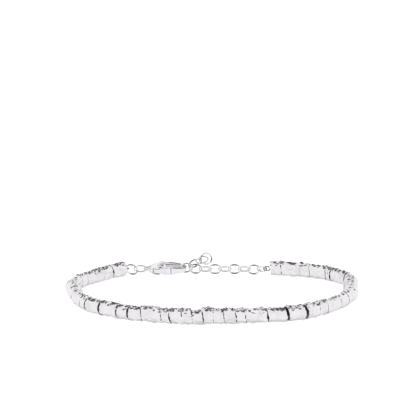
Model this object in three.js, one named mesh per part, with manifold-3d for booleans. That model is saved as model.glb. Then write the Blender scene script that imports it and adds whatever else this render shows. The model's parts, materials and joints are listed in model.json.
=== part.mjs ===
// Beaded bracelet: hammered silver tube beads on a stringing wire, closed by a lobster clasp
// that is hooked into a short extender chain.  It lies on its side as a wide oval.
// Millimetres, +Z up, +X along the oval's length, +Y from the beaded front to the clasp.

import * as THREE from "three";
import { mergeVertices } from "three/addons/utils/BufferGeometryUtils.js";
import Module from "manifold-3d";

const wasm = await Module();
wasm.setup();

// ---------------------------------------------------------------- driving dimensions

// beads
const BEAD_SIDES = 12;
const BEAD_BORE = 1.7;
const BEAD_EDGE = 0.28; // width of the rounded rim at each end
const RIM_CLEARANCE = 0.1; // least space between two rims on the inside of a bend

// stringing wire
const STRING_DIAMETER = 0.6;
const STRING_HEIGHT = 1.75; // height of the wire above the surface that the bracelet lies on
const STRING_STEPS = 76;
const LOOP_WIRE = 0.36;
const LOOP_LENGTH = 2.1;
const LOOP_WIDTH = 1.56;
const LOOP_REACH = 0.55; // centre of the loop, measured out from the end bead
const HOLD_REACH = 1.05; // where the link that the loop holds meets it

// chain: rings of one wire, and the length of chain that each takes up between its neighbours
const LINK_WIRE = 0.52;
const LINK = { length: 3.78, width: 3.0, pitch: 2.6 };
const ROUND_RING = { length: 3.0, width: 3.0, pitch: 1.83 };
const HOOKED_LINK = { length: 4.0, width: 3.1 };
const END_LINK = { length: 4.0, width: 3.1 }; // the two links between the strand and the clasp
const END_RING = { length: 3.4, width: 3.4 };
const WIRE_SIDES = 6;
const RING_STEPS = 16;

// clasp, in its own frame: u from the eye to the nose, v from the gate to the spine, w up
const CLASP_LENGTH = 11.7;
const CLASP_WIDTH = 4.2;
const CLASP_THICKNESS = 2.3;
const CLASP_EDGE = 0.45;
const CLASP_SQUARENESS = 2.4; // exponent of the body's outline
const CLASP_SIDES = 32;
const HOLE_SQUARENESS = 3;
const HOLE_SIDES = 20;
const BODY_START = 1.6;
const NOSE_TAPER = { start: 6.8, angle: THREE.MathUtils.degToRad(8.5) };
const TAIL_TAPER = { start: 4.2, angle: THREE.MathUtils.degToRad(13) };
const EYE_RADIUS = 1.3;
const EYE_HOLE = 0.8;
const EYE_THICKNESS = 0.7;
const HOLE = { start: 4.9, end: 10.4, width: 2.0 };
const NOSE_CHAMFER = 0.3; // half of what is left of the nose's inner edge, where the link sits

const SLOT = { start: 2.7, end: 5.9, height: 1.5 };
const GATE = { start: 4.7, depth: -0.55 };
const PIVOT = new THREE.Vector2(4.2, -0.2);
const PIN_RADIUS = 0.35;
const PIN_HOLE = 0.5;
const LEVER_THICKNESS = 1.2;
const LEVER_EDGE = 0.1;
const ARM_START = 5.45; // where the gate arm leaves the slot and grows thicker
const NUB_START = 2.35; // where the thumb nub does the same
const OUTER_THICKNESS = 1.8;
const LEVER_REACH = 3.95; // from the pivot to the tip of the gate arm
const HOOK_REACH = 4.1; // from the pivot to the end of the hook

// ---------------------------------------------------------------- where things lie

// the stringing wire's route in plan, from its left end round the front to its right end
const STRAND_ROUTE = [
  [-23.2, 20.2],
  [-28.3, 15.9],
  [-35.6, 5.9],
  [-34.3, -3.0],
  [-31.6, -9.7],
  [-24.4, -16.0],
  [-13.5, -20.2],
  [-4.8, -21.6],
  [3.4, -21.0],
  [23.6, -17.1],
  [35.2, -3.2],
  [35.7, 3.2],
  [35.8, 10.2],
  [28.2, 17.9],
  [20.6, 19.9],
  [15.3, 21.1],
];

// the beads in their order on the wire: stretch of wire taken up, gap to the next bead, diameter;
// half of the last gap bares the wire's end
const BEADS = [
  { pitch: 4.55, gap: 0.3, girth: 3.7 },
  { pitch: 3.5, gap: 0.3, girth: 3.75 },
  { pitch: 5.35, gap: 0.12, girth: 3.65 },
  { pitch: 3.1, gap: 0.3, girth: 3.75 },
  { pitch: 5.0, gap: 0.3, girth: 3.7 },
  { pitch: 5.3, gap: 0.3, girth: 3.75 },
  { pitch: 2.7, gap: 0.12, girth: 3.8 },
  { pitch: 5.3, gap: 0.12, girth: 3.65 },
  { pitch: 2.8, gap: 0.3, girth: 3.75 },
  { pitch: 4.65, gap: 0.7, girth: 3.7 },
  { pitch: 4.95, gap: 0.3, girth: 3.75 },
  { pitch: 2.95, gap: 0.5, girth: 3.65 },
  { pitch: 2.8, gap: 0.12, girth: 3.75 },
  { pitch: 5.05, gap: 0.12, girth: 3.95 },
  { pitch: 2.65, gap: 0.4, girth: 3.65 },
  { pitch: 2.6, gap: 0.25, girth: 3.8 },
  { pitch: 2.55, gap: 0.12, girth: 3.75 },
  { pitch: 2.4, gap: 0.25, girth: 3.6 },
  { pitch: 2.7, gap: 0.12, girth: 4.1 },
  { pitch: 2.7, gap: 0.12, girth: 3.75 },
  { pitch: 2.65, gap: 0.35, girth: 3.85 },
  { pitch: 2.7, gap: 0.2, girth: 3.8 },
  { pitch: 5.1, gap: 0.5, girth: 3.65 },
  { pitch: 4.95, gap: 0.5, girth: 3.65 },
  { pitch: 4.7, gap: 0.7, girth: 3.9 },
  { pitch: 4.7, gap: 0.12, girth: 3.8 },
  { pitch: 2.65, gap: 0.12, girth: 3.7 },
  { pitch: 5.3, gap: 0.12, girth: 3.75 },
  { pitch: 3.2, gap: 0.25, girth: 3.65 },
  { pitch: 4.55, gap: 0.3, girth: 3.8 },
  { pitch: 5.05, gap: 0.3, girth: 3.7 },
  { pitch: 5.05, gap: 0.3, girth: 3.75 },
  { pitch: 2.95, gap: 0.3, girth: 3.7 },
  { pitch: 5.5, gap: 0.4, girth: 3.75 },
  { pitch: 2.55, gap: 0.12, girth: 3.75 },
  { pitch: 4.85, gap: 0.15, girth: 3.7 },
  { pitch: 2.65, gap: 0.25, girth: 3.9 },
  { pitch: 4.95, gap: 0.2, girth: 3.85 },
  { pitch: 3.2, gap: 0.9, girth: 3.8 },
];

// how the chain's links are rolled about the chain: they cross at a right angle
const LEANS_BACK = 47;
const LEANS_FORWARD = -43;
const CHAIN_HEIGHT = 1.18; // height of the links' centres when they lie on their edges

// the clasp lies on the edge of its gate, its spine side and its nose raised by the hooked link
const CLASP_LIE = {
  eye: new THREE.Vector2(-18.22, 23.17),
  heading: THREE.MathUtils.degToRad(-7),
  rise: THREE.MathUtils.degToRad(2.5),
  roll: THREE.MathUtils.degToRad(8),
};

// the extender's links in a row, with the heading in plan and the roll of each in degrees
const EXTENDER = [
  { name: "jump_ring", size: ROUND_RING, heading: 160, roll: -LEANS_FORWARD, height: 1.48, rise: -10 },
  { name: "extender_link_1", size: LINK, heading: 163, roll: -LEANS_BACK },
  { name: "extender_link_2", size: LINK, heading: 180, roll: -LEANS_FORWARD },
  { name: "extender_link_3", size: LINK, heading: 180, roll: -LEANS_BACK },
  { name: "extender_link_4", size: LINK, heading: 180, roll: -LEANS_FORWARD },
  { name: "extender_link_5", size: LINK, heading: 180, roll: -LEANS_BACK },
  { name: "extender_link_6", size: LINK, heading: 180, roll: -LEANS_FORWARD },
  { name: "extender_link_7", size: LINK, heading: 180, roll: -LEANS_BACK, height: 1.28, rise: 6 },
];

// links that lie askew: the two behind the eye, the one in the clasp, and the free end of the
// extender, which lies back on the chain
const LOOSE_LINKS = [
  { name: "left_link_1", size: END_LINK, centre: [-21.2, 21.59, 1.42], heading: 31.5, roll: 54, rise: -11.6 },
  { name: "left_link_2", size: END_LINK, centre: [-18.84, 22.6, 1.33], heading: 12.8, roll: -51, rise: -7.3 },
  { name: "hooked_link", size: HOOKED_LINK, centre: [-6.71, 22.45, 1.66], heading: 195, roll: 74, rise: 3 },
  { name: "tail_link_1", size: LINK, centre: [-4.57, 22.61, 2.8], heading: 9.5, roll: 24.5, rise: 30.5 },
  { name: "tail_link_2", size: LINK, centre: [-2.5, 23.2, 3.58], heading: 17.7, roll: -58, rise: 2.5 },
  { name: "end_ring", size: END_RING, centre: [-1.4, 23.43, 3.87], heading: 34, roll: 44, rise: 54.5 },
];

// ---------------------------------------------------------------- materials

const SILVER = { color: 0xdedbde, metalness: 1, roughness: 0.22 };
const BRIGHT_SILVER = { color: 0xe6e4e6, metalness: 1, roughness: 0.12 };
const COATED_WIRE = { color: 0x8e8c90, metalness: 0.8, roughness: 0.4 };

function piece(name, geometry, finish) {
  const mesh = new THREE.Mesh(geometry, new THREE.MeshStandardMaterial(finish));
  mesh.name = name;
  return mesh;
}

// ---------------------------------------------------------------- solids

// a manifold solid from a closed three.js geometry, and back again
function toSolid(geometry) {
  const bare = geometry.clone();
  bare.deleteAttribute("normal");
  bare.deleteAttribute("uv");
  const merged = mergeVertices(bare, 1e-5);
  const vertProperties = new Float32Array(merged.attributes.position.array);
  const triVerts = new Uint32Array(merged.index.array);
  return new wasm.Manifold(new wasm.Mesh({ numProp: 3, vertProperties, triVerts }));
}

function toGeometry(solid) {
  const mesh = solid.getMesh();
  const geometry = new THREE.BufferGeometry();
  geometry.setAttribute("position", new THREE.BufferAttribute(mesh.vertProperties, 3));
  geometry.setIndex(new THREE.BufferAttribute(mesh.triVerts, 1));
  geometry.computeVertexNormals();
  return geometry;
}

// a bored tube along X with rounded rims, resting on one flat side
function beadGeometry(length, girth) {
  const outer = girth / 2 / Math.cos(Math.PI / BEAD_SIDES);
  const bore = BEAD_BORE / 2;
  const half = length / 2;
  const profile = [
    new THREE.Vector2(bore, -half),
    new THREE.Vector2(outer - BEAD_EDGE, -half),
    new THREE.Vector2(outer, -half + BEAD_EDGE),
    new THREE.Vector2(outer, half - BEAD_EDGE),
    new THREE.Vector2(outer - BEAD_EDGE, half),
    new THREE.Vector2(bore, half),
    new THREE.Vector2(bore, -half),
  ];
  const tube = new THREE.LatheGeometry(profile, BEAD_SIDES, Math.PI / BEAD_SIDES);
  tube.rotateZ(-Math.PI / 2);
  return tube;
}

// an oval ring of round wire in the XY plane, its length along X, measured outside
function ringGeometry(length, width, wire) {
  const wireRadius = wire / 2;
  const halfLength = length / 2 - wireRadius;
  const halfWidth = width / 2 - wireRadius;
  const ring = new THREE.TorusGeometry(1, wireRadius, WIRE_SIDES, RING_STEPS);
  const points = ring.attributes.position;
  for (let i = 0; i < points.count; i += 1) {
    const angle = Math.atan2(points.getY(i), points.getX(i));
    const offset = Math.hypot(points.getX(i), points.getY(i)) - 1;
    const normal = new THREE.Vector2(Math.cos(angle) / halfLength, Math.sin(angle) / halfWidth);
    normal.normalize();
    points.setX(i, halfLength * Math.cos(angle) + offset * normal.x);
    points.setY(i, halfWidth * Math.sin(angle) + offset * normal.y);
  }
  return ring;
}

// ---------------------------------------------------------------- the strand of beads

const route = new THREE.CatmullRomCurve3(
  STRAND_ROUTE.map(([x, y]) => new THREE.Vector3(x, y, 0)),
  false,
  "centripetal",
);
route.arcLengthDivisions = 3000;

function headingOf(direction) {
  return Math.atan2(direction.y, direction.x);
}

// the points on the wire between one bead and the next, both ends included
function seamPoints() {
  const strandLength = BEADS.reduce((sum, bead) => sum + bead.pitch, 0);
  const points = [route.getPointAt(0)];
  let reached = 0;
  for (const bead of BEADS) {
    reached += bead.pitch;
    points.push(route.getPointAt(Math.min(reached / strandLength, 1)));
  }
  return points;
}

// the gap at a seam, wide enough for the rims on the inside of the bend
function seamGap(bead, turn) {
  const rim = bead.girth / 2 - BEAD_EDGE;
  const forBend = 2 * rim * Math.tan(Math.abs(turn) / 2) + RIM_CLEARANCE;
  return Math.max(bead.gap, forBend);
}

function makeBeads() {
  const seams = seamPoints();
  const chords = BEADS.map((_, i) => seams[i + 1].clone().sub(seams[i]));
  const gaps = BEADS.map((bead, i) => {
    if (i === BEADS.length - 1) return bead.gap;
    return seamGap(bead, chords[i].angleTo(chords[i + 1]));
  });
  return BEADS.map((bead, i) => {
    const direction = chords[i].clone().normalize();
    const gapBefore = i === 0 ? 0 : gaps[i - 1] / 2;
    const gapAfter = gaps[i] / 2;
    const length = chords[i].length() - gapBefore - gapAfter;
    const name = `bead_${String(i + 1).padStart(2, "0")}`;
    const mesh = piece(name, beadGeometry(length, bead.girth), SILVER);
    mesh.position.copy(seams[i]).addScaledVector(direction, gapBefore + length / 2);
    mesh.position.z = bead.girth / 2;
    mesh.rotation.z = headingOf(direction);
    return mesh;
  });
}

// a loop of wire that stands out of the bore at one end of the strand
function endLoop(end, heading, roll) {
  const loop = ringGeometry(LOOP_LENGTH, LOOP_WIDTH, LOOP_WIRE);
  loop.rotateX(THREE.MathUtils.degToRad(roll));
  loop.translate(LOOP_REACH, 0, 0);
  loop.rotateZ(heading);
  loop.translate(end.x, end.y, STRING_HEIGHT);
  return toSolid(loop);
}

function polygonShape(corners) {
  return new THREE.Shape(corners.map(([x, y]) => new THREE.Vector2(x, y)));
}

function roundSection(radius, sides) {
  const corner = (i) => (2 * Math.PI * i) / sides;
  return polygonShape(
    Array.from({ length: sides }, (_, i) => [radius * Math.cos(corner(i)), radius * Math.sin(corner(i))]),
  );
}

// the strand's two ends: where they are, and the way that they point to the chain
const leftEnd = { place: route.getPointAt(0), heading: headingOf(route.getTangentAt(0).negate()) };
const rightEnd = { place: route.getPointAt(1), heading: headingOf(route.getTangentAt(1)) };

function makeStringingWire() {
  const wire = new THREE.ExtrudeGeometry(roundSection(STRING_DIAMETER / 2, WIRE_SIDES), {
    steps: STRING_STEPS,
    bevelEnabled: false,
    extrudePath: route,
  });
  wire.translate(0, 0, STRING_HEIGHT);
  const left = endLoop(leftEnd.place, leftEnd.heading, LEANS_FORWARD);
  const right = endLoop(rightEnd.place, rightEnd.heading, -LEANS_BACK);
  return piece("stringing_wire", toGeometry(toSolid(wire).add(left).add(right)), COATED_WIRE);
}

// ---------------------------------------------------------------- the chain

// a link with its length along its heading, rolled about its length, its far end lifted by its rise
function placeLink({ name, size, place, heading, roll, rise = 0 }) {
  const mesh = piece(name, ringGeometry(size.length, size.width, LINK_WIRE), BRIGHT_SILVER);
  mesh.rotation.set(
    THREE.MathUtils.degToRad(roll),
    THREE.MathUtils.degToRad(-rise),
    THREE.MathUtils.degToRad(heading),
    "ZYX",
  );
  mesh.position.copy(place);
  return mesh;
}

// the extender: each link takes up its pitch along its own heading, from where the last one ended
function makeExtender() {
  const joint = rightEnd.place.clone();
  joint.x += HOLD_REACH * Math.cos(rightEnd.heading);
  joint.y += HOLD_REACH * Math.sin(rightEnd.heading);
  return EXTENDER.map((link) => {
    const heading = THREE.MathUtils.degToRad(link.heading);
    const halfStep = new THREE.Vector3(Math.cos(heading), Math.sin(heading), 0);
    halfStep.multiplyScalar(link.size.pitch / 2);
    const place = joint.clone().add(halfStep).setZ(link.height ?? CHAIN_HEIGHT);
    joint.addScaledVector(halfStep, 2);
    return placeLink({ ...link, place });
  });
}

function makeLooseLinks() {
  return LOOSE_LINKS.map((link) => placeLink({ ...link, place: new THREE.Vector3(...link.centre) }));
}

// ---------------------------------------------------------------- the clasp

// a squared oval along X, from one place to another, its corners between the axes
function ovalCorners(start, end, width, squareness, sides) {
  const middle = (start + end) / 2;
  const power = 2 / squareness;
  return Array.from({ length: sides }, (_, i) => {
    const angle = (2 * Math.PI * (i + 0.5)) / sides;
    const along = Math.sign(Math.cos(angle)) * Math.abs(Math.cos(angle)) ** power;
    const across = Math.sign(Math.sin(angle)) * Math.abs(Math.sin(angle)) ** power;
    return [middle + ((end - start) / 2) * along, (width / 2) * across];
  });
}

function claspOutline() {
  const body = ovalCorners(BODY_START, CLASP_LENGTH, CLASP_WIDTH, CLASP_SQUARENESS, CLASP_SIDES);
  const hole = ovalCorners(HOLE.start, HOLE.end, HOLE.width, HOLE_SQUARENESS, HOLE_SIDES);
  const outline = polygonShape(body);
  outline.holes.push(polygonShape(hole.reverse()));
  return outline;
}

// a plate of a given outline, centred on its thickness, with its edges rounded off
function roundedPlate(shape, thickness, edge, curveSegments) {
  const plate = new THREE.ExtrudeGeometry(shape, {
    depth: thickness - 2 * edge,
    curveSegments,
    bevelThickness: edge,
    bevelSize: 0.8 * edge,
    bevelOffset: -0.8 * edge,
    bevelSegments: 2,
  });
  plate.translate(0, 0, edge - thickness / 2);
  return plate;
}

function boxBetween(low, high) {
  const size = high.clone().sub(low);
  const box = new THREE.BoxGeometry(size.x, size.y, size.z);
  const middle = low.clone().add(high).multiplyScalar(0.5);
  box.translate(middle.x, middle.y, middle.z);
  return box;
}

function discAt(centre, radius, thickness, sides) {
  const disc = new THREE.CylinderGeometry(radius, radius, thickness, sides);
  disc.rotateX(Math.PI / 2);
  disc.translate(centre.x, centre.y, 0);
  return disc;
}

// what the tapers take off one face: a block that starts on the face and tilts into it
function taperCutter({ start, angle }, towards, face) {
  const reach = CLASP_LENGTH;
  const block = new THREE.BoxGeometry(reach, 2 * CLASP_WIDTH, CLASP_THICKNESS);
  block.translate((towards * reach) / 2, 0, (face * CLASP_THICKNESS) / 2);
  block.rotateY(face * towards * angle);
  block.translate(start, 0, (face * CLASP_THICKNESS) / 2);
  return toSolid(block);
}

// a block that takes the corner off the nose's inner edge, on one face
function chamferCutter(face) {
  const side = HOLE.width;
  const block = new THREE.BoxGeometry(2 * side, 1.1 * side, side);
  block.translate(0, 0, side / 2);
  block.rotateY(-Math.PI / 4);
  block.translate(HOLE.end, 0, NOSE_CHAMFER);
  if (face < 0) block.rotateX(Math.PI);
  return toSolid(block);
}

function eyeGeometry() {
  const radius = (EYE_RADIUS + EYE_HOLE) / 2;
  const halfWidth = (EYE_RADIUS - EYE_HOLE) / 2;
  const profile = [];
  for (let i = 0; i <= 8; i += 1) {
    const angle = -(2 * Math.PI * i) / 8;
    const x = radius - halfWidth * Math.cos(angle);
    profile.push(new THREE.Vector2(x, (EYE_THICKNESS / 2) * Math.sin(angle)));
  }
  profile[8].copy(profile[0]);
  const eye = new THREE.LatheGeometry(profile, 20);
  eye.rotateX(Math.PI / 2);
  eye.translate(EYE_RADIUS, 0, 0);
  return eye;
}

function makeClaspBody() {
  const tall = 2 * CLASP_THICKNESS;
  const slot = boxBetween(
    new THREE.Vector3(SLOT.start, -CLASP_WIDTH, -SLOT.height / 2),
    new THREE.Vector3(SLOT.end, CLASP_WIDTH, SLOT.height / 2),
  );
  const gateBox = boxBetween(
    new THREE.Vector3(GATE.start, -CLASP_WIDTH, -tall / 2),
    new THREE.Vector3(CLASP_LENGTH, GATE.depth, tall / 2),
  );
  const gate = toSolid(discAt(PIVOT, HOOK_REACH, tall, 64)).intersect(toSolid(gateBox));
  let body = toSolid(roundedPlate(claspOutline(), CLASP_THICKNESS, CLASP_EDGE, 1));
  for (const face of [1, -1]) {
    body = body.subtract(taperCutter(NOSE_TAPER, 1, face));
    body = body.subtract(taperCutter(TAIL_TAPER, -1, face));
    body = body.subtract(chamferCutter(face));
  }
  body = body.subtract(gate).subtract(toSolid(slot));
  body = body.subtract(toSolid(discAt(new THREE.Vector2(EYE_RADIUS, 0), EYE_HOLE, tall, 20)));
  body = body.add(toSolid(eyeGeometry()));
  body = body.add(toSolid(discAt(PIVOT, PIN_RADIUS, CLASP_THICKNESS - 0.2, 10)));
  return piece("clasp_body", toGeometry(body), BRIGHT_SILVER);
}

// the lever in its closed place: thumb nub on the spine's side, gate arm across the hook's mouth
function leverOutline() {
  const side = -CLASP_WIDTH / 2;
  const outline = new THREE.Shape();
  outline.moveTo(5.0, side + 0.05);
  outline.lineTo(6.6, side);
  outline.absarc(PIVOT.x, PIVOT.y, LEVER_REACH, -0.49, -0.24, false);
  outline.lineTo(6.2, -1.05);
  outline.quadraticCurveTo(5.3, -0.9, 5.2, 0.1);
  outline.lineTo(5.6, 1.9);
  outline.quadraticCurveTo(5.7, 2.9, 4.9, 3.0);
  outline.quadraticCurveTo(4.2, 2.95, 3.45, 2.1);
  outline.lineTo(3.45, 1.1);
  outline.lineTo(3.3, -0.3);
  outline.lineTo(3.0, -0.9);
  outline.quadraticCurveTo(2.7, -1.85, 4.0, side + 0.12);
  outline.lineTo(5.0, side + 0.05);
  const bore = new THREE.Path();
  bore.absarc(PIVOT.x, PIVOT.y, PIN_HOLE, 0, 2 * Math.PI, true);
  outline.holes.push(bore);
  return outline;
}

function makeClaspLever() {
  const armSpace = boxBetween(
    new THREE.Vector3(ARM_START, -CLASP_WIDTH, -CLASP_THICKNESS),
    new THREE.Vector3(CLASP_LENGTH, 0, CLASP_THICKNESS),
  );
  const nubSpace = boxBetween(
    new THREE.Vector3(0, NUB_START, -CLASP_THICKNESS),
    new THREE.Vector3(CLASP_LENGTH, CLASP_WIDTH, CLASP_THICKNESS),
  );
  const inner = toSolid(roundedPlate(leverOutline(), LEVER_THICKNESS, LEVER_EDGE, 4));
  const outer = toSolid(roundedPlate(leverOutline(), OUTER_THICKNESS, LEVER_EDGE, 4));
  const lever = inner.add(outer.intersect(toSolid(armSpace))).add(outer.intersect(toSolid(nubSpace)));
  return piece("clasp_lever", toGeometry(lever), SILVER);
}

// the clasp, with the wire of the last left link in its eye, let down onto the surface
function makeClasp() {
  const clasp = new THREE.Group();
  clasp.add(makeClaspBody(), makeClaspLever());
  clasp.rotation.set(CLASP_LIE.roll, -CLASP_LIE.rise, CLASP_LIE.heading, "ZYX");
  clasp.position.set(CLASP_LIE.eye.x, CLASP_LIE.eye.y, 0);
  clasp.updateMatrixWorld(true);
  clasp.position.z = -new THREE.Box3().setFromObject(clasp, true).min.z;
  return clasp;
}

// ---------------------------------------------------------------- assembly

const bracelet = new THREE.Group();
bracelet.add(...makeBeads(), makeStringingWire(), makeClasp());
bracelet.add(...makeExtender(), ...makeLooseLinks());

// the origin is under the middle of the whole bracelet
bracelet.updateMatrixWorld(true);
const extent = new THREE.Box3().setFromObject(bracelet, true);
const middle = extent.getCenter(new THREE.Vector3());
bracelet.position.set(-middle.x, -middle.y, -extent.min.z);

export default bracelet;
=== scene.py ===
# Looks for the beaded bracelet: hammered silver beads on a wire, a lobster clasp and its chain.

import json
import math
import random

import bpy
import numpy as np
from mathutils import Matrix, Vector


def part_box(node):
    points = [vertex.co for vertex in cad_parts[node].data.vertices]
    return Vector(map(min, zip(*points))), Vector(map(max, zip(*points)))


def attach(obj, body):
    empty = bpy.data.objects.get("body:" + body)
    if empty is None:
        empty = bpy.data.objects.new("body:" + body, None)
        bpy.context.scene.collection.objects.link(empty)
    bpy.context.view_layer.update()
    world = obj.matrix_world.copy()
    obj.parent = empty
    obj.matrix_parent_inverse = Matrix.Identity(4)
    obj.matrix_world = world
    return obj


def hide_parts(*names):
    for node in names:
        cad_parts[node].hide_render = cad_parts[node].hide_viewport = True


MM = 0.001
CUT_SLACK = 0.001 * MM
MERGE = 0.002 * MM
SAME_POINT = 7  # decimals of a metre

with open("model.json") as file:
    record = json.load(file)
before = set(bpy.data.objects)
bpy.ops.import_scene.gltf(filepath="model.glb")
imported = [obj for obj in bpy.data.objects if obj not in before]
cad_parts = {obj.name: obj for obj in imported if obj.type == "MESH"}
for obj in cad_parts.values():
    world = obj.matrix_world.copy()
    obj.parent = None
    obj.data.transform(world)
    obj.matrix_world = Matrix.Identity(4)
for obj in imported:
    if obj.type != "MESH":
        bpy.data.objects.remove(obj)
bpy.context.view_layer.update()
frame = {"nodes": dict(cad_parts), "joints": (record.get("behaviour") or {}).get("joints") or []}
nodes = frame["nodes"]
hinge = frame["joints"][0]


# ---------------------------------------------------------------- the camera

AIM = Vector((-0.255, -1.01, 1.75)) * MM
ELEVATION = math.radians(17)
DISTANCE = 500 * MM
PITCH = math.radians(14.6)
YAW = math.radians(0.044)
SENSOR_WIDTH = 36
FOCAL_LENGTH = 167.57

camera = bpy.data.objects.new("camera", bpy.data.cameras.new("camera"))
bpy.context.scene.collection.objects.link(camera)
camera.data.sensor_width = SENSOR_WIDTH
camera.data.lens = FOCAL_LENGTH
camera.data.clip_start = 0.01
camera.data.clip_end = 20
camera.location = AIM + DISTANCE * Vector((0, -math.cos(ELEVATION), math.sin(ELEVATION)))
camera.rotation_euler = (math.pi / 2 - PITCH, 0, YAW)
bpy.context.scene.camera = camera


# ---------------------------------------------------------------- modelling by hand

def clear_selection():
    """Leaves object mode with nothing selected."""
    if bpy.context.object and bpy.context.object.mode != "OBJECT":
        bpy.ops.object.mode_set(mode="OBJECT")
    bpy.ops.object.select_all(action="DESELECT")


def take(obj):
    """Makes obj the one selected and active object."""
    clear_selection()
    obj.select_set(True)
    bpy.context.view_layer.objects.active = obj


def start(add, **settings):
    """Adds a primitive to an empty selection, with its place and size in its mesh."""
    clear_selection()
    add(**settings)
    apply_place()
    return bpy.context.object


def apply_place():
    """Puts the place, turn and size of the selected object into its mesh."""
    bpy.ops.object.transform_apply(location=True, rotation=True, scale=True)


def cylinder(sides, radius, depth, **place):
    """A cylinder along Z, unless its place says otherwise."""
    add = bpy.ops.mesh.primitive_cylinder_add
    return start(add, vertices=sides, radius=radius, depth=depth, **place)


def torus(ring, wire, around, across, **place):
    """A flat ring: its radius and that of its wire, with the steps around each."""
    return start(
        bpy.ops.mesh.primitive_torus_add, major_radius=ring, minor_radius=wire,
        major_segments=around, minor_segments=across, **place,
    )


def everything(part):
    """The test that every face, edge or vertex passes."""
    return True


def pick(obj, kind, test):
    """Enters edit mode with only those faces, edges or vertices of obj selected that pass a test."""
    bpy.ops.object.mode_set(mode="EDIT")
    bpy.ops.mesh.select_mode(type=kind)
    bpy.ops.mesh.select_all(action="DESELECT")
    bpy.ops.object.mode_set(mode="OBJECT")
    parts = {"FACE": obj.data.polygons, "EDGE": obj.data.edges, "VERT": obj.data.vertices}[kind]
    for part in parts:
        part.select = bool(test(part))
    bpy.ops.object.mode_set(mode="EDIT")


def resize(obj, factors, centre=(0, 0, 0)):
    """Scales all of a mesh about a point."""
    take(obj)
    pick(obj, "VERT", everything)
    bpy.ops.transform.resize(value=factors, center_override=centre)
    bpy.ops.object.mode_set(mode="OBJECT")


def ends_of(obj, edge):
    """The two end points of an edge."""
    return [obj.data.vertices[i].co for i in edge.vertices]


def modify(obj, kind, **settings):
    """Adds one modifier to obj and applies it."""
    take(obj)
    modifier = obj.modifiers.new(kind.lower(), kind)
    for key, value in settings.items():
        setattr(modifier, key, value)
    bpy.ops.object.modifier_apply(modifier=modifier.name)


def combine(obj, tool, operation):
    """Joins a second solid to obj, or cuts it away, and removes it."""
    modify(obj, "BOOLEAN", object=tool, operation=operation, solver="EXACT")
    bpy.data.objects.remove(tool)


def slice_off(obj, point, away):
    """Cuts off what lies beyond a plane, and closes the cut."""
    take(obj)
    pick(obj, "VERT", everything)
    bpy.ops.mesh.bisect(
        plane_co=point, plane_no=away, threshold=CUT_SLACK, use_fill=True, clear_outer=True
    )
    bpy.ops.mesh.select_all(action="SELECT")
    bpy.ops.mesh.normals_make_consistent(inside=False)
    bpy.ops.object.mode_set(mode="OBJECT")


def tidy_mesh(obj):
    """Merges doubles and turns all faces outwards."""
    take(obj)
    bpy.ops.object.mode_set(mode="EDIT")
    bpy.ops.mesh.select_all(action="SELECT")
    bpy.ops.mesh.remove_doubles(threshold=MERGE)
    bpy.ops.mesh.normals_make_consistent(inside=False)
    bpy.ops.object.mode_set(mode="OBJECT")


def lay(obj, axes, origin):
    """Turns and moves a piece that was modelled at the origin into its place."""
    obj.matrix_world = Matrix.Translation(origin) @ Matrix(axes).transposed().to_4x4()
    take(obj)
    apply_place()


def copy_of(master):
    """A copy of a piece, with a mesh of its own."""
    twin = master.copy()
    twin.data = master.data.copy()
    bpy.context.scene.collection.objects.link(twin)
    return twin


def finish_piece(obj, name, node, slot, *finishes):
    """Names a piece, gives it its finishes, and lets it stand for its CAD node."""
    obj.name = name
    obj.data.name = name
    for finish in finishes:
        obj.data.materials.append(finish)
    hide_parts(node)
    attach(obj, "lever" if node == "clasp_lever" else "bracelet")
    return obj


# ---------------------------------------------------------------- finishes

FILM_STARTS = 0.72  # level of the film's noise where the film starts, less its cover
FILM_WHOLE = 1.05
SCRATCH_TURNS = (0.5, 1.9, 2.8)
SCRATCH_STRETCH = 0.08
SCRATCH_LEVEL = 0.68
SCRATCH_DEPTH = 0.3
SCRATCH_HAZE = 0.35
PEEL_SCALE = 1.6
SHADE_AT_LEAST = 0.5  # the painted shade's least cover between its patches, where the attribute lays it on


def node_at(tree, kind, **settings):
    """Adds a shader node with its settings."""
    made = tree.nodes.new(kind)
    for key, value in settings.items():
        setattr(made, key, value)
    return made


def calc(tree, operation, *values):
    """A Math node whose inputs are sockets or plain numbers."""
    made = node_at(tree, "ShaderNodeMath", operation=operation)
    for socket, value in zip(made.inputs, values):
        if isinstance(value, bpy.types.NodeSocket):
            tree.links.new(value, socket)
        else:
            socket.default_value = value
    return made.outputs[0]


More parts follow.
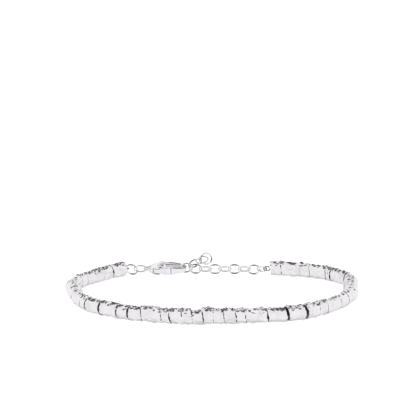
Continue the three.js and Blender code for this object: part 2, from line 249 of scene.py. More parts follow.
def build_wear():
    """Handling marks on soft metal: a patchy film, fine scratches and a faint orange-peel surface."""
    group = bpy.data.node_groups.new("metal_wear", "ShaderNodeTree")
    face = group.interface
    face.new_socket("Position", in_out="INPUT", socket_type="NodeSocketVector")
    for name, value in (("Film Size", 1.0), ("Film Cover", 0.5), ("Scratch Size", 0.2)):
        socket = face.new_socket(name, in_out="INPUT", socket_type="NodeSocketFloat")
        socket.default_value = value
    for name in ("Film", "Scratches", "Height"):
        face.new_socket(name, in_out="OUTPUT", socket_type="NodeSocketFloat")
    given = node_at(group, "NodeGroupInput").outputs
    made = node_at(group, "NodeGroupOutput").inputs

    film = node_at(group, "ShaderNodeTexNoise")
    film.inputs["Detail"].default_value = 5
    group.links.new(given["Position"], film.inputs["Vector"])
    group.links.new(calc(group, "DIVIDE", 1 / MM, given["Film Size"]), film.inputs["Scale"])
    spread = node_at(group, "ShaderNodeMapRange", interpolation_type="SMOOTHSTEP")
    group.links.new(film.outputs["Fac"], spread.inputs["Value"])
    group.links.new(calc(group, "SUBTRACT", FILM_STARTS, given["Film Cover"]), spread.inputs["From Min"])
    group.links.new(calc(group, "SUBTRACT", FILM_WHOLE, given["Film Cover"]), spread.inputs["From Max"])
    group.links.new(spread.outputs["Result"], made["Film"])

    lines = []
    for turn in SCRATCH_TURNS:
        skew = node_at(group, "ShaderNodeMapping")
        skew.inputs["Rotation"].default_value = (turn, turn * 0.7, turn * 1.3)
        skew.inputs["Scale"].default_value = (1, SCRATCH_STRETCH, 1)
        group.links.new(given["Position"], skew.inputs["Vector"])
        streaks = node_at(group, "ShaderNodeTexNoise")
        streaks.inputs["Detail"].default_value = 1
        group.links.new(skew.outputs["Vector"], streaks.inputs["Vector"])
        group.links.new(calc(group, "DIVIDE", 1 / MM, given["Scratch Size"]), streaks.inputs["Scale"])
        lines.append(calc(group, "GREATER_THAN", streaks.outputs["Fac"], SCRATCH_LEVEL))
    scratches = calc(group, "MAXIMUM", calc(group, "MAXIMUM", *lines[:2]), lines[2])
    group.links.new(scratches, made["Scratches"])

    peel = node_at(group, "ShaderNodeTexNoise")
    peel.inputs["Detail"].default_value = 2
    group.links.new(given["Position"], peel.inputs["Vector"])
    group.links.new(calc(group, "DIVIDE", PEEL_SCALE / MM, given["Film Size"]), peel.inputs["Scale"])
    grooves = calc(group, "MULTIPLY", scratches, SCRATCH_DEPTH)
    height = calc(group, "SUBTRACT", peel.outputs["Fac"], grooves)
    group.links.new(height, made["Height"])
    return group


metal_wear = build_wear()


def metal(name, bright, film_or_shade, gloss, film, scratch, relief, shade_attribute=None):
    """A metal finish: colours and roughnesses of the clean metal and of its film or painted shade, size
    and cover of the film, size of the scratches, and depth of the relief in mm. A mesh attribute can
    say where that colour is laid on as painted shade and dark reflection; elsewhere the metal is clean."""
    made = bpy.data.materials.new(name)
    made.use_nodes = True
    tree = made.node_tree
    shader = tree.nodes["Principled BSDF"]
    shader.inputs["Metallic"].default_value = 1
    place = node_at(tree, "ShaderNodeTexCoord")
    wear = node_at(tree, "ShaderNodeGroup", node_tree=metal_wear)
    wear.inputs["Film Size"].default_value = film[0]
    wear.inputs["Film Cover"].default_value = film[1]
    wear.inputs["Scratch Size"].default_value = scratch
    tree.links.new(place.outputs["Object"], wear.inputs["Position"])
    tint = node_at(tree, "ShaderNodeMix", data_type="RGBA")
    tint.inputs["A"].default_value = (*bright, 1)
    tint.inputs["B"].default_value = (*film_or_shade, 1)
    cover = wear.outputs["Film"]
    # The attribute lays the second colour on as painted shade; elsewhere there is none.
    if shade_attribute:
        where = node_at(tree, "ShaderNodeAttribute", attribute_name=shade_attribute)
        patchy = calc(tree, "MULTIPLY_ADD", cover, 1 - SHADE_AT_LEAST, SHADE_AT_LEAST)
        cover = calc(tree, "MULTIPLY", patchy, where.outputs["Fac"])
    tree.links.new(cover, tint.inputs["Factor"])
    tree.links.new(tint.outputs["Result"], shader.inputs["Base Color"])
    haze = node_at(tree, "ShaderNodeMapRange")
    haze.inputs["To Min"].default_value = gloss[0]
    haze.inputs["To Max"].default_value = gloss[1]
    marks = calc(tree, "MULTIPLY_ADD", wear.outputs["Scratches"], SCRATCH_HAZE, wear.outputs["Film"])
    tree.links.new(marks, haze.inputs["Value"])
    tree.links.new(haze.outputs["Result"], shader.inputs["Roughness"])
    bump = node_at(tree, "ShaderNodeBump")
    bump.inputs["Strength"].default_value = 1
    bump.inputs["Distance"].default_value = relief * MM
    tree.links.new(wear.outputs["Height"], bump.inputs["Height"])
    tree.links.new(bump.outputs["Normal"], shader.inputs["Normal"])
    return made


hammered_silver = metal(
    "hammered_silver", bright=(0.84, 0.82, 0.845), film_or_shade=(0.75, 0.73, 0.75), gloss=(0.12, 0.2),
    film=(2.5, 0.3), scratch=0.12, relief=0.0025,
)
polished_silver = metal(
    "polished_silver", bright=(0.85, 0.84, 0.87), film_or_shade=(0.75, 0.73, 0.76), gloss=(0.08, 0.16),
    film=(3, 0.3), scratch=0.1, relief=0.0012,
)
# Its dark second colour is painted shade and dark reflection, laid on only where the links' mesh attribute
# says.
chain_silver = metal(
    "chain_silver", bright=(0.84, 0.83, 0.845), film_or_shade=(0.16, 0.155, 0.16), gloss=(0.12, 0.24),
    film=(0.7, 0.45), scratch=0.08, relief=0.006, shade_attribute="painted_shade",
)
# Darker metal for the bores and for the end faces at wide seams: tarnish, and painted shade for the
# shadowed gaps and bores.
tarnish_and_seam_shade = metal(
    "tarnish_and_seam_shade", bright=(0.56, 0.55, 0.56), film_or_shade=(0.34, 0.335, 0.33), gloss=(0.3, 0.5),
    film=(0.8, 0.5), scratch=0.1, relief=0.006,
)
steel_cable = metal(
    "steel_cable", bright=(0.42, 0.41, 0.42), film_or_shade=(0.25, 0.245, 0.25), gloss=(0.25, 0.4),
    film=(0.5, 0.4), scratch=0.1, relief=0.004,
)


# ---------------------------------------------------------------- the beads

BORE = 0.85 * MM
RADIUS = 1.75 * MM
BLANK = 1.6 * MM
RIM = 0.07 * MM
RIM_STEPS = 4
SIDES = 96
STEP = 0.11 * MM  # between the rows of points along a bead
OUTER = 0.9  # share of the radius past which a point is on the outer wall
IN_BORE = 0.3  # share of the diameter within which a face is in the bore
FACES_ALONG = 0.9  # how squarely a face has to look along an axis
BROADEST = 0.03 * MM * MM  # larger faces are the flat ends
END_ON = 0.5

HAMMER_BLOW = 0.48 * MM
BLOWS_REST_AT = 0.3  # level of the dimples that leaves the surface where it is
LUMPS = 0.36 * MM
LUMPS_REST_AT = 0.5
UNEQUAL = (0.75, 1.25)
END_WEAR = 0.4  # how much shallower the dimples are where the strand runs from front to back

TIGHT = 0.27 * MM  # a seam with more room than this, and with slack, is a wide one
SLACK = 0.15 * MM
CLOSE = 0.1 * MM  # between the ends at a close seam, before the hammering swells the rims past it
WIDE = 0.38 * MM  # from here on a seam's end faces get the darker finish: tarnish, and painted shade for the dark gap
WIDE_FILL = 0.18  # share of a wide seam that each of its beads grows into
LAST_BEAD = 1 * MM  # with this much room no bead follows
PARTED = 0.36 * MM  # the same at a parted seam
PARTED_AFTER = ("bead_01", "bead_02", "bead_09", "bead_11", "bead_34")
ASKEW = math.radians(6)
SEAMS_TURN = -3 * MM
HANG = math.radians(7)

random.seed(19)


def noise(name, kind, size, **settings):
    """A texture that pushes a surface in and out."""
    texture = bpy.data.textures.new(name, kind)
    texture.noise_scale = size
    for key, value in settings.items():
        setattr(texture, key, value)
    return texture


dimples = noise("dimples", "VORONOI", 0.8 * MM, distance_metric="DISTANCE_SQUARED")
unevenness = noise("unevenness", "CLOUDS", 3.2 * MM, noise_depth=1)


def off_axis(co):
    """How far a point of an unplaced bead is from the bead's axis."""
    return math.hypot(co.y, co.z)


def make_blank():
    """A short bored tube along X with rounded rims, the start of every bead."""
    blank = cylinder(SIDES, RADIUS, BLANK, rotation=(0, math.pi / 2, 0))
    pick(blank, "FACE", lambda face: abs(face.normal.x) > FACES_ALONG)
    bpy.ops.mesh.inset(thickness=RADIUS - BORE)
    bpy.ops.mesh.bridge_edge_loops()

    def rim(edge):
        a, b = ends_of(blank, edge)
        return min(off_axis(a), off_axis(b)) > OUTER * RADIUS and a.x * b.x > 0

    pick(blank, "EDGE", rim)
    bpy.ops.mesh.bevel(offset=RIM, segments=RIM_STEPS, affect="EDGES")
    bpy.ops.object.mode_set(mode="OBJECT")
    return blank


def bead_frame(node):
    """Centre, heading, length and diameter of a bead, read from its CAD solid."""
    points = np.array([v.co for v in nodes[node].data.vertices])
    highest = points[:, 2].max()
    top = np.unique(np.round(points[points[:, 2] > highest - MERGE], SAME_POINT), axis=0)
    along = np.linalg.svd(top - top.mean(0))[2][0]
    along = along * math.copysign(1, along[0])
    low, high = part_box(node)
    return (low + high) / 2, Vector(along), float(np.ptp(points @ along)), high.z - low.z


def seam_lean(place, along):
    """How far a bead's end face leans out of upright. The beads hang askew on the wire, most where
    the strand runs across, and not at all on the left at the back."""
    if place.x < 0 < place.y:
        return 0
    return HANG * along.x * abs(along.x)


def seam_at(node, side):
    """The seam at one end of a bead: how wide it is in the CAD, how far the bead grows into it, and how
    far the end face is turned away from square. A wide seam opens to one side left of the middle and
    to the other right of it. The faces of the rest are parallel and close, and mostly run straight
    back. All this is before the hammering, after which the rims of most neighbours meet."""
    centre, along, length, girth = bead_frames[node]
    end = centre + along * side * length / 2
    ends = (
        ((middle + way * other_side * size / 2 - end).length, other)
        for other, (middle, way, size, _) in bead_frames.items() if other != node
        for other_side in (-1, 1)
    )
    room, other = min(ends)
    beside = bead_frames[other][1]
    beside = beside * math.copysign(1, along.dot(beside))
    askew = ASKEW * math.copysign(1, SEAMS_TURN - end.x)
    spare = room - girth / 2 * along.cross(beside).length
    if room > TIGHT and spare > SLACK:
        return room, room * WIDE_FILL if room < LAST_BEAD else 0, askew
    mean = along + beside
    heading = math.atan2(mean.y, mean.x)
    mitre = math.atan2(along.y, along.x) - heading
    if min(node, other) in PARTED_AFTER:
        return room, (room - PARTED) / 2, mitre + askew
    return room, (room - CLOSE) / 2, mitre + math.sin(2 * heading) / 2


def make_bead(node, blank):
    """A blank drawn out to the CAD's length and diameter, its ends turned and hammered, its bore and the
    ends at wide seams darkened: tarnish and painted shade.
    """
    centre, along, length, girth = bead_frames[node]
    across = Vector((-along.y, along.x, 0))
    bead = copy_of(blank)
    take(bead)
    seams = {side: seam_at(node, side) for side in (-1, 1)}
    for side in (-1, 1):
        pick(bead, "VERT", lambda v: v.co.x * side > 0)
        growth = seams[side][1]
        bpy.ops.transform.translate(value=(side * ((length - BLANK) / 2 + growth), 0, 0))
    pick(bead, "VERT", lambda v: off_axis(v.co) > OUTER * RADIUS)
    fit = girth / 2 / RADIUS
    bpy.ops.transform.resize(value=(1, fit, fit), center_override=(0, 0, 0))
    for side, (room, growth, yaw) in seams.items():
        pick(bead, "VERT", lambda v: v.co.x * side > 0)
        lean = seam_lean(centre + along * side * length / 2, along)
        pivot = (side * (length / 2 + growth), 0, 0)
        bpy.ops.transform.rotate(value=lean, orient_axis="Y", center_override=pivot)
        bpy.ops.transform.rotate(value=yaw, orient_axis="Z", center_override=pivot)

    def stave(edge):
        a, b = ends_of(bead, edge)
        return a.x * b.x < 0 and off_axis(a) > OUTER * girth / 2

    pick(bead, "EDGE", stave)
    bpy.ops.mesh.subdivide(number_cuts=round(length / STEP))
    pick(bead, "VERT", lambda v: off_axis(v.co) > OUTER * girth / 2)
    bpy.ops.object.vertex_group_assign_new()
    bpy.ops.object.mode_set(mode="OBJECT")
    lay(bead, (along, across, Vector((0, 0, 1))), centre)
    worn = 1 - END_WEAR * abs(along.y)
    for texture, blow, middle in (
        (dimples, HAMMER_BLOW * worn, BLOWS_REST_AT), (unevenness, LUMPS, LUMPS_REST_AT)
    ):
        modify(
            bead, "DISPLACE", texture=texture, texture_coords="LOCAL",
            strength=blow * random.uniform(*UNEQUAL), mid_level=middle,
            vertex_group=bead.vertex_groups[0].name,
        )
    tidy_mesh(bead)
    lowest = min(v.co.z for v in bead.data.vertices)
    pick(bead, "VERT", everything)
    bpy.ops.transform.translate(value=(0, 0, -lowest))
    bpy.ops.object.mode_set(mode="OBJECT")
    finish_piece(bead, "hammered_" + node, node, "hammered_silver", hammered_silver, tarnish_and_seam_shade)

    # The bore and the end faces at wide seams get the darker finish: tarnish and painted shade.
    def darkened_face(face):
        off = face.center - centre
        if face.area > BROADEST and abs(face.normal.dot(along)) > END_ON:
            return seams[math.copysign(1, off.dot(along))][0] > WIDE
        return (off - along * off.dot(along)).length < IN_BORE * girth

    pick(bead, "FACE", darkened_face)
    bead.active_material_index = 1
    bpy.ops.object.material_slot_assign()
    bpy.ops.object.mode_set(mode="OBJECT")
    bpy.ops.object.shade_smooth_by_angle(angle=math.radians(45))
    return bead


bead_frames = {node: bead_frame(node) for node in sorted(nodes) if node.startswith("bead_")}
bead_blank = make_blank()
for node in bead_frames:
    make_bead(node, bead_blank)
bpy.data.objects.remove(bead_blank)


# ---------------------------------------------------------------- the stringing wire

CABLE = 0.3 * MM
CABLE_SIDES = 18
STRANDS_APART = 120  # degrees round the cable
GROOVE = (50, 70)
PINCH = 0.62
LAY = 1.3 * MM  # length in which the strands go once round
TWIST_STEPS = 16
LOOP = (2.1 * MM, 1.56 * MM, 0.36 * MM)  # length, width and wire
LOOP_SEEN = 1.6 * MM
NEAR = 3 * MM

wire_points = np.array([v.co for v in nodes["stringing_wire"].data.vertices])
wire_low, wire_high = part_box("stringing_wire")
wire_height = (wire_low.z + wire_high.z) / 2


def make_route(places):
    """A smooth curve past the beads' middles, for the cable to follow. It cuts the corners at the
    two turns, where the cable enters the walls of a few beads."""
    curve = bpy.data.curves.new("route", "CURVE")
    curve.dimensions = "3D"
    curve.resolution_u = 24
    curve.twist_mode = "Z_UP"
    spline = curve.splines.new("NURBS")
    spline.points.add(len(places) - 1)
    for point, place in zip(spline.points, places):
        point.co = (place.x, place.y, wire_height, 1)
    spline.order_u = 4
    spline.use_endpoint_u = True
    route = bpy.data.objects.new("route", curve)
    bpy.context.scene.collection.objects.link(route)
    return route, spline.calc_length()


def make_cable(places):
    """Three strands laid round each other: a circle pinched to a trefoil, screwed along and bent to
    the route."""
    route, length = make_route(places)
    cable = start(
        bpy.ops.mesh.primitive_circle_add, vertices=CABLE_SIDES, radius=CABLE,
        rotation=(0, math.pi / 2, 0),
    )

    def between_strands(v):
        turn = math.degrees(math.atan2(v.co.z, v.co.y)) % STRANDS_APART
        return GROOVE[0] < turn < GROOVE[1]

    pick(cable, "VERT", between_strands)
    bpy.ops.transform.resize(value=(PINCH, PINCH, PINCH), center_override=(0, 0, 0))
    bpy.ops.object.mode_set(mode="OBJECT")
    turns = round(length / LAY)
    modify(
        cable, "SCREW", axis="X", angle=math.tau, screw_offset=length / turns, iterations=turns,
        steps=TWIST_STEPS, render_steps=TWIST_STEPS, use_merge_vertices=False,
    )
    take(cable)
    bpy.ops.object.mode_set(mode="EDIT")
    bpy.ops.mesh.select_mode(type="EDGE")
    bpy.ops.mesh.select_all(action="DESELECT")
    bpy.ops.mesh.select_non_manifold()
    bpy.ops.mesh.fill_holes(sides=0)
    bpy.ops.object.mode_set(mode="OBJECT")
    modify(cable, "CURVE", object=route, deform_axis="POS_X")
    bpy.data.objects.remove(route)
    tidy_mesh(cable)
    bpy.ops.object.shade_smooth_by_angle(angle=math.radians(60))
    return finish_piece(cable, "twisted_cable", "stringing_wire", "coated_wire", steel_cable)


def end_loop(node, way):
    """Lays the loop of wire beyond an end bead where the CAD's loop is, and says where on it the
    cable ends."""
    centre, along, length, _ = bead_frames[node]
    outward = along * way
    face = centre + outward * length / 2
    along_way = (wire_points - np.array(face)) @ np.array(outward)
    near = np.linalg.norm(wire_points - np.array(face), axis=1) < NEAR
    tip = float(along_way[near].max())
    ring = wire_points[near & (along_way > tip - LOOP_SEEN)]
    normal = Vector(np.linalg.svd(ring - ring.mean(0))[2][2])
    middle = face + outward * (tip - LOOP[0] / 2)
    middle.z = wire_height
    loop = make_link(*LOOP)
    across = normal.cross(outward).normalized()
    lay(loop, (outward, across, outward.cross(across)), middle)
    finish_piece(loop, "wire_loop_" + node, "stringing_wire", "coated_wire", steel_cable)
    return middle - outward * (LOOP[0] - LOOP[2]) / 2


def make_stringing_wire():
    """The cable through all the beads in order, from the loop at one end to that at the other."""
    order = sorted(bead_frames)
    first = end_loop(order[0], 1)
    last = end_loop(order[-1], -1)
    make_cable([first] + [bead_frames[node][0] for node in order] + [last])


# ---------------------------------------------------------------- the chain

SOLDER = 0.03 * MM
JOINT = 0.17 * MM  # half the width of the soldered joint
CORE = 0.01 * MM  # the wire is drawn out from this
LINK_STEPS = (72, 20)
SHADE_REACH = 0.32  # how far towards a link's ends its painted shade goes, as a share of its length
MOST_SHADED_FACING = Vector((0, -0.73, 0.68))  # links that face this way, up towards the front, get the full painted shade and dark reflection
# share of the painted shade kept by links that face across that way
LEAST_SHADE_SHARE = 0.4


def ring_frame(node):
    """Centre, axes, length, width and wire of a link, read from its CAD solid."""
    points = np.array([v.co for v in nodes[node].data.vertices])
    points = np.unique(np.round(points, SAME_POINT), axis=0)
    centre = points.mean(0)
    axes = np.linalg.svd(points - centre)[2]
    if np.linalg.det(axes) < 0:
        axes[2] = -axes[2]
    spans = np.ptp((points - centre) @ axes.T, axis=0)
    return Vector(centre), [Vector(axis) for axis in axes], *map(float, spans)


def make_link(length, width, wire):
    """An oval ring of round wire, with the soldered joint where its wire was closed."""
    link = torus(1 * MM, CORE, *LINK_STEPS)
    resize(link, ((length - wire) / 2 / MM, (width - wire) / 2 / MM, 1))
    pick(link, "VERT", everything)
    bpy.ops.transform.shrink_fatten(value=wire / 2 - CORE, use_even_offset=True)
    pick(link, "VERT", lambda v: v.co.x > 0 and abs(v.co.y) < JOINT)
    bpy.ops.transform.shrink_fatten(value=SOLDER, use_even_offset=True)
    bpy.ops.object.mode_set(mode="OBJECT")
    bpy.ops.object.shade_smooth()
    # Painted shade and dark reflection on the middles of the long sides, fading to none at the ends.
    painted_shade = link.data.attributes.new("painted_shade", "FLOAT", "POINT")
    for v in link.data.vertices:
        painted_shade.data[v.index].value = max(0, 1 - (v.co.x / (SHADE_REACH * length)) ** 2)
    return link


link_masters = {}
for node in sorted(node for node in nodes if "link" in node or node.endswith("_ring")):
    centre, axes, *spans = ring_frame(node)
    size = tuple(round(span / MM, 1) for span in spans[:2])
    if size not in link_masters:
        link_masters[size] = make_link(*spans)
    link = copy_of(link_masters[size])
    lay(link, axes, centre)
    # The painted shade is strongest on links that face up towards the front.
    lean = abs(axes[2].dot(MOST_SHADED_FACING))
    for spot in link.data.attributes["painted_shade"].data:
        spot.value *= LEAST_SHADE_SHARE + (1 - LEAST_SHADE_SHARE) * lean
    finish_piece(link, "round_wire_" + node, node, "polished_silver", chain_silver)
for master in link_masters.values():
    bpy.data.objects.remove(master)


make_stringing_wire()


# ---------------------------------------------------------------- the clasp
# It is modelled in its own frame: x from the eye to the nose, y from the gate to the spine,
# z up through the rivet.

CLASP_HEADING = math.radians(-7)
CLASP_RISE = math.radians(2.5)
TAIL = 1.5 * MM
NOSE = 11.7 * MM
BODY_OVAL = (5.5, 2.35, 1)  # half length and half width in mm, before the tail, nose and flanks are cut
BODY_WIDTH = 4.2 * MM
BODY_THICKNESS = 2.3 * MM
BODY_EDGE = 0.45 * MM
TAPERS = ((6.8 * MM, 1, math.radians(8.5)), (4.2 * MM, -1, math.radians(13)))  # start, way and slope
HOLE = (4.9 * MM, 10.4 * MM, 2 * MM, 0.35 * MM)  # start, end, width and flare
SLOT = ((2.7 * MM, -4 * MM, -0.75 * MM), (5.9 * MM, 4 * MM, 0.75 * MM))
CUTTER_HALF = 1.6 * MM
CUTTER_LEVELS = 15
THROUGH = 4 * MM  # length of a cutter that goes through the body
GATE_START = 4.7 * MM
GATE_SIDE = -0.55 * MM
HOOK_REACH = 4.1 * MM
EYE = (1.3 * MM, 0, 0)
EYE_HOLE = 0.92 * MM
EYE_RING = (1.05 * MM, 0.25 * MM, 64, 24)
EYE_DEPTH = 1.3
EDGE_STEPS = 5
BODY_WEAR = (0.055 * MM, 8)  # grain of the casting, and how often it is smoothed
LEVER_WEAR = (0.05 * MM, 5)

RIVET = Vector((4.2, -0.2, 0)) * MM
RIVET_RADIUS = 0.34 * MM
RIVET_LENGTH = 1.9 * MM
RIVET_HEAD = 1.3
HEAD_HEIGHT = 0.14 * MM
HEAD_RIM = 0.12 * MM
HEAD_DOME = 0.06 * MM
HEAD_EDGE = 0.03 * MM
HEAD_STEPS = 3
LEVER_BORE = 0.5 * MM

clasp_up = Vector(hinge["axis"])
clasp_along = Vector((
    math.cos(CLASP_RISE) * math.cos(CLASP_HEADING),
    math.cos(CLASP_RISE) * math.sin(CLASP_HEADING),
    math.sin(CLASP_RISE),
))
clasp_across = clasp_up.cross(clasp_along)
clasp_axes = (clasp_along, clasp_across, clasp_up)
clasp_origin = Vector(hinge["pos_m"]) - clasp_along * RIVET.x - clasp_across * RIVET.y


def fit_to(obj, low, high):
    """Scales and moves a mesh until its box runs from one corner to the other."""
    points = np.array([v.co for v in obj.data.vertices])
    now_low, now_high = points.min(0), points.max(0)
    factors = (np.array(high) - np.array(low)) / (now_high - now_low)
    resize(obj, tuple(factors))
    pick(obj, "VERT", everything)
    middle = (np.array(high) + np.array(low)) / 2 - factors * (now_high + now_low) / 2
    bpy.ops.transform.translate(value=tuple(middle))
    bpy.ops.object.mode_set(mode="OBJECT")


def box(low, high):
    """A block from one corner to the other."""
    block = start(bpy.ops.mesh.primitive_cube_add, size=10 * MM)
    fit_to(block, low, high)
    return block


def flared_cutter(first, last, width, flare):
    """An upright oval that widens towards both faces, so that what it cuts has rounded edges."""
    cutter = cylinder(64, 1 * MM, 2 * CUTTER_HALF)

    def upright(edge):
        a, b = ends_of(cutter, edge)
        return a.z * b.z < 0

    pick(cutter, "EDGE", upright)
    bpy.ops.mesh.subdivide(number_cuts=CUTTER_LEVELS)
    bpy.ops.object.mode_set(mode="OBJECT")
    for level in sorted({round(v.co.z, 6) for v in cutter.data.vertices}):
        grow = flare * (abs(level) / CUTTER_HALF) ** 3
        pick(cutter, "VERT", lambda v: abs(v.co.z - level) < 0.01 * MM)
        across = width / 2 + grow
        along = (last - first) / 2 + grow
        bpy.ops.transform.resize(value=(along / MM, across / MM, 1), center_override=(0, 0, level))
    pick(cutter, "VERT", everything)
    bpy.ops.transform.translate(value=((first + last) / 2, 0, 0))
    bpy.ops.object.mode_set(mode="OBJECT")
    return cutter


def gate_cutter():
    """What the lever's arm needs: a disc about the rivet, kept only across the hook's mouth."""
    disc = cylinder(128, HOOK_REACH, THROUGH, location=RIVET)
    slice_off(disc, (GATE_START, 0, 0), (-1, 0, 0))
    slice_off(disc, (0, GATE_SIDE, 0), (0, 1, 0))
    return disc


def round_edges(obj, width, steps, sharper_than):
    """Rounds the edges of obj that are sharper than an angle."""
    modify(obj, "BEVEL", width=width, segments=steps, limit_method="ANGLE", angle_limit=sharper_than)


def soften(obj, grain, passes):
    """Gives a cut solid the worn edges of a casting."""
    modify(obj, "REMESH", mode="VOXEL", voxel_size=grain)
    modify(obj, "SMOOTH", factor=0.5, iterations=passes)
    bpy.ops.object.shade_smooth()


def make_clasp_body():
    """A cast oval with flat flanks, thinned towards its nose and eye, then cut for hole, gate and
    lever."""
    half = BODY_THICKNESS / 2
    width = BODY_WIDTH / 2
    body = cylinder(96, 1 * MM, BODY_THICKNESS)
    pick(body, "VERT", everything)
    bpy.ops.transform.resize(value=BODY_OVAL, center_override=(0, 0, 0))
    bpy.ops.transform.translate(value=((TAIL + NOSE) / 2, 0, 0))
    for point, away in (
        ((TAIL, 0, 0), (-1, 0, 0)), ((NOSE, 0, 0), (1, 0, 0)),
        ((0, width, 0), (0, 1, 0)), ((0, -width, 0), (0, -1, 0)),
    ):
        slice_off(body, point, away)
    round_edges(body, BODY_EDGE, EDGE_STEPS, math.radians(60))
    for face in (1, -1):
        for begin, towards, angle in TAPERS:
            tilt = (towards * math.sin(angle), 0, face * math.cos(angle))
            slice_off(body, (begin, 0, face * half), tilt)
    combine(body, flared_cutter(*HOLE), "DIFFERENCE")
    combine(body, gate_cutter(), "DIFFERENCE")
    combine(body, box(*SLOT), "DIFFERENCE")
    combine(body, cylinder(60, EYE_HOLE, THROUGH, location=EYE), "DIFFERENCE")
    eye = torus(*EYE_RING, location=EYE)
    resize(eye, (1, 1, EYE_DEPTH))
    combine(body, eye, "UNION")
    soften(body, *BODY_WEAR)
    lay(body, clasp_axes, clasp_origin)
    return finish_piece(body, "cast_clasp_body", "clasp_body", "polished_silver", polished_silver)


def make_rivet():
    """The pin that the lever turns on, its two heads set flat against the body."""
    pin = cylinder(48, RIVET_RADIUS, RIVET_LENGTH, location=RIVET)
    for side in (-1, 1):
        pick(pin, "FACE", lambda face: face.normal.z * side > FACES_ALONG)
        bpy.ops.transform.resize(value=(RIVET_HEAD, RIVET_HEAD, 1), center_override=RIVET)
        bpy.ops.mesh.extrude_region_move(TRANSFORM_OT_translate={"value": (0, 0, side * HEAD_HEIGHT)})
        bpy.ops.mesh.inset(thickness=HEAD_RIM, depth=HEAD_DOME)
    bpy.ops.object.mode_set(mode="OBJECT")
    round_edges(pin, HEAD_EDGE, HEAD_STEPS, math.radians(25))
    tidy_mesh(pin)
    bpy.ops.object.shade_smooth_by_angle(angle=math.radians(50))
    lay(pin, clasp_axes, clasp_origin)
    return finish_piece(pin, "clasp_rivet", "clasp_body", "polished_silver", polished_silver)


LEVER_OUTLINE = (
    (5.0, -2.03), (5.8, -2.09), (6.7, -2.1), (7.45, -2.08), (7.68, -2.0), (7.86, -1.75), (8.0, -1.4),
    (7.98, -1.22), (7.8, -1.14), (7.0, -1.1), (6.2, -1.05), (5.6, -0.85), (5.3, -0.45), (5.24, 0.1),
    (5.35, 0.8), (5.52, 1.5), (5.62, 2.1), (5.55, 2.6), (5.3, 2.9), (4.9, 3.0), (4.5, 2.9), (4.0, 2.6),
    (3.6, 2.3), (3.46, 2.0), (3.45, 1.1), (3.38, 0.4), (3.3, -0.3), (3.0, -0.9), (2.92, -1.4), (3.1, -1.72),
    (3.5, -1.88), (4.1, -1.98),
)
LEVER_THICKNESS = 1.2 * MM
OUTER_THICKNESS = 1.8 * MM  # of the arm and the nub, outside the body's slot
ARM_STARTS = (5.35 * MM, 5.6 * MM)
NUB_START = 2.35 * MM


def make_clasp_lever():
    """A flat lever: its outline drawn point by point, filled, raised, bored and worn smooth."""
    lever = start(bpy.ops.mesh.primitive_plane_add, size=1 * MM)
    pick(lever, "VERT", everything)
    bpy.ops.mesh.merge(type="CENTER")
    here = Vector((*LEVER_OUTLINE[0], 0)) * MM
    bpy.ops.transform.translate(value=(here.x, here.y, -LEVER_THICKNESS / 2))
    for x, y in LEVER_OUTLINE[1:]:
        there = Vector((x, y, 0)) * MM
        bpy.ops.mesh.extrude_region_move(TRANSFORM_OT_translate={"value": there - here})
        here = there
    bpy.ops.mesh.select_all(action="SELECT")
    bpy.ops.mesh.edge_face_add()
    bpy.ops.mesh.extrude_region_move(TRANSFORM_OT_translate={"value": (0, 0, LEVER_THICKNESS)})
    bpy.ops.object.mode_set(mode="OBJECT")
    tidy_mesh(lever)
    steps = [((start_x, 0, 0), (1, 0, 0)) for start_x in ARM_STARTS]
    for point, away in steps + [((0, NUB_START, 0), (0, 1, 0))]:
        pick(lever, "FACE", everything)
        bpy.ops.mesh.bisect(plane_co=point, plane_no=away, threshold=CUT_SLACK)

    def outside(v):
        on_arm = v.co.x > ARM_STARTS[1] - 0.05 * MM and v.co.y < 0
        return v.co.y > NUB_START + 0.02 * MM or on_arm

    pick(lever, "VERT", outside)
    thicker = OUTER_THICKNESS / LEVER_THICKNESS
    bpy.ops.transform.resize(value=(1, 1, thicker), center_override=(0, 0, 0))
    bpy.ops.object.mode_set(mode="OBJECT")
    combine(lever, cylinder(48, LEVER_BORE, THROUGH, location=RIVET), "DIFFERENCE")
    soften(lever, *LEVER_WEAR)
    lay(lever, clasp_axes, clasp_origin)
    return finish_piece(lever, "cast_clasp_lever", "clasp_lever", "polished_silver", polished_silver)


make_clasp_body()
make_rivet()
make_clasp_lever()


# ---------------------------------------------------------------- the studio

FLOOR_SIZE = 6
PAPER_GREY = 0.52
PAPER_ROUGHNESS = 0.9
PAPER_SHINE = 0.1
FLOOR_GLOW = 0.42
FLOOR_GLOW_SEEN = 0.36  # added where the camera sees the floor itself

DARK_CLOTH = math.radians(118)  # from the horizon in front, over the top, to the cloth's middle
CLOTH_NARROW = 0.65
CLOTH_PATCHES = (3, 2)  # scale and detail
PATCH_DEPTH = 0.2
CLOTH_SHIFT = 0.25
CLOTH_EDGE = (0.725, 0.765)
CLOTH_GREY = 0.1
SKY = 1.02

SOFTBOX_SIZE = 1.5
SOFTBOX_HEIGHT = 1.5
SOFTBOX_POWER = 12


def lay_floor():
    """White paper, lit a little from within so that it stays pale."""
    floor = start(bpy.ops.mesh.primitive_plane_add, size=FLOOR_SIZE)
    floor.name = "floor"
    paper = bpy.data.materials.new("white_paper")
    paper.use_nodes = True
    tree = paper.node_tree
    shader = tree.nodes["Principled BSDF"]
    shader.inputs["Base Color"].default_value = (PAPER_GREY, PAPER_GREY, PAPER_GREY, 1)
    shader.inputs["Roughness"].default_value = PAPER_ROUGHNESS
    shader.inputs["Specular IOR Level"].default_value = PAPER_SHINE
    shader.inputs["Emission Color"].default_value = (1, 1, 1, 1)
    sight = node_at(tree, "ShaderNodeLightPath")
    glow = calc(tree, "MULTIPLY_ADD", sight.outputs["Is Camera Ray"], FLOOR_GLOW_SEEN, FLOOR_GLOW)
    tree.links.new(glow, shader.inputs["Emission Strength"])
    floor.data.materials.append(paper)


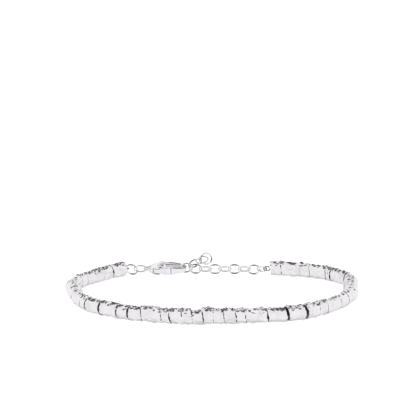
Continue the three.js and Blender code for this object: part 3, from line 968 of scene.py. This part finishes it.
def light_sky():
    """A white room with one dark cloth behind and above, its edge patchy, for the silver to mirror."""
    world = bpy.data.worlds.new("studio")
    bpy.context.scene.world = world
    world.use_nodes = True
    tree = world.node_tree
    backdrop = tree.nodes["Background"]
    place = node_at(tree, "ShaderNodeTexCoord")
    narrow = node_at(tree, "ShaderNodeVectorMath", operation="MULTIPLY")
    narrow.inputs[1].default_value = (CLOTH_NARROW, 1, 1)
    unit = node_at(tree, "ShaderNodeVectorMath", operation="NORMALIZE")
    towards = node_at(tree, "ShaderNodeVectorMath", operation="DOT_PRODUCT")
    towards.inputs[1].default_value = (0, -math.cos(DARK_CLOTH), math.sin(DARK_CLOTH))
    patches = node_at(tree, "ShaderNodeTexNoise")
    patches.inputs["Scale"].default_value = CLOTH_PATCHES[0]
    patches.inputs["Detail"].default_value = CLOTH_PATCHES[1]
    tree.links.new(place.outputs["Generated"], patches.inputs["Vector"])
    tree.links.new(place.outputs["Generated"], narrow.inputs[0])
    tree.links.new(narrow.outputs[0], unit.inputs[0])
    tree.links.new(unit.outputs[0], towards.inputs[0])
    patchy = calc(tree, "MULTIPLY_ADD", patches.outputs["Fac"], PATCH_DEPTH, towards.outputs["Value"])
    patchy = calc(tree, "SUBTRACT", patchy, CLOTH_SHIFT)
    ramp = node_at(tree, "ShaderNodeValToRGB")
    for element, position, grey in zip(ramp.color_ramp.elements, CLOTH_EDGE, (1, CLOTH_GREY)):
        element.position = position
        element.color = (grey, grey, grey, 1)
    tree.links.new(patchy, ramp.inputs["Fac"])
    tree.links.new(ramp.outputs["Color"], backdrop.inputs["Color"])
    backdrop.inputs["Strength"].default_value = SKY


def hang_softbox():
    """A wide square light straight above, which the silver doesn't mirror."""
    light = bpy.data.lights.new("top_softbox", "AREA")
    light.shape = "RECTANGLE"
    light.size = light.size_y = SOFTBOX_SIZE
    light.energy = SOFTBOX_POWER
    softbox = bpy.data.objects.new("top_softbox", light)
    bpy.context.scene.collection.objects.link(softbox)
    softbox.location = (0, 0, SOFTBOX_HEIGHT)
    softbox.visible_glossy = False


lay_floor()
light_sky()
hang_softbox()
bpy.context.scene.view_settings.view_transform = "Standard"
bpy.context.scene.view_settings.look = "None"
